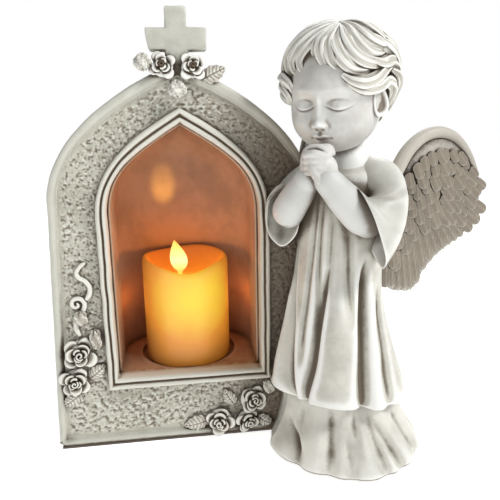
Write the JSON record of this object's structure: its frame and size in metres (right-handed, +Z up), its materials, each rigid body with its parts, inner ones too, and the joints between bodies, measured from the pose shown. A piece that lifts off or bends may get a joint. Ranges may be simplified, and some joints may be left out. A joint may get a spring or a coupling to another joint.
{
  "type": "angel figurine with candle niche",
  "caption": "Free-standing cast resin figurine: a praying winged cherub beside an arched chapel with a niche that holds a battery candle, a cross on top and rose sprays.",
  "frame": {"origin": "on the underside of the felt base sheet, straight below the candle's axis", "axes": "+X along the chapel's front to the viewer's right, +Y into the chapel's depth, +Z up; the front faces -Y"},
  "size_m": [0.2442, 0.1322, 0.2295],
  "materials": {
    "resin": "matt, antiqued",
    "pale_resin": "satin",
    "wax": "satin, translucent",
    "flame": "lit from inside",
    "felt": "felt",
    "steel": "bright",
    "copper": "bright",
    "black_plastic": "matt",
    "white_plastic": "satin",
    "circuit_board": "lacquered"
  },
  "bodies": {
    "figurine": {"base_felt": "felt", "bud_front_corner": "resin", "bud_side_left": "resin", "bud_side_right": "resin", "bud_top_left": "resin", "bud_top_low": "resin", "chapel_back": "resin", "chapel_shell": "resin", "clasped_hands": "pale_resin", "cross": "resin", "cross_pin": "steel", "hair": "resin", "head": "pale_resin", "leaf_front_left": "resin", "leaf_front_low": "resin", "leaf_front_upper": "resin", "leaf_side_low": "resin", "leaf_side_right": "resin", "leaf_top": "resin", "left_forearm": "pale_resin", "left_sleeve": "resin", "left_wing": "resin", "left_wing_pin": "steel", "niche_base": "resin", "niche_floor": "resin", "niche_liner": "resin", "right_forearm": "pale_resin", "right_sleeve": "resin", "right_wing": "resin", "right_wing_pin": "steel", "robe": "resin", "rose_front_left": "resin", "rose_front_lower": "resin", "rose_front_upper": "resin", "rose_side_lower": "resin", "rose_side_upper": "resin", "rose_top_left": "resin", "rose_top_right": "resin", "underskirt": "resin", "vine_tendril": "resin", "window_moulding": "resin"},
    "candle": {"candle_shell": "wax", "candle_base": "white_plastic", "coin_cell": "steel", "contact_strip": "copper", "switch_body": "steel", "circuit_board": "circuit_board", "board_screw_1": "steel", "board_screw_2": "steel", "mechanism_tower": "black_plastic", "pivot_wire": "steel", "drive_coil": "copper", "led": "flame"},
    "flame": {"flame": "flame", "flame_magnet": "steel"},
    "switch": {"switch_slider": "black_plastic"},
    "door": {"battery_door": "white_plastic"}
  },
  "joints": [
    {"name": "candle_lift", "type": "slide", "parent": "figurine", "child": "candle", "axis": [0, -0.7071, 0.7071], "range_m": [0, 0.085]},
    {"name": "flame_swing", "type": "hinge", "parent": "candle", "child": "flame", "pos_m": [-0.0032, -0.003, 0.08156], "axis": [0, 1, 0], "range_deg": [-10, 10]},
    {"name": "switch_slide", "type": "slide", "parent": "candle", "child": "switch", "axis": [1, 0, 0], "range_m": [0, 0.003]},
    {"name": "door_turn", "type": "hinge", "parent": "candle", "child": "door", "pos_m": [0, 0, 0.03906], "axis": [0, 0, 1], "range_deg": [0, 30]}
  ]
}
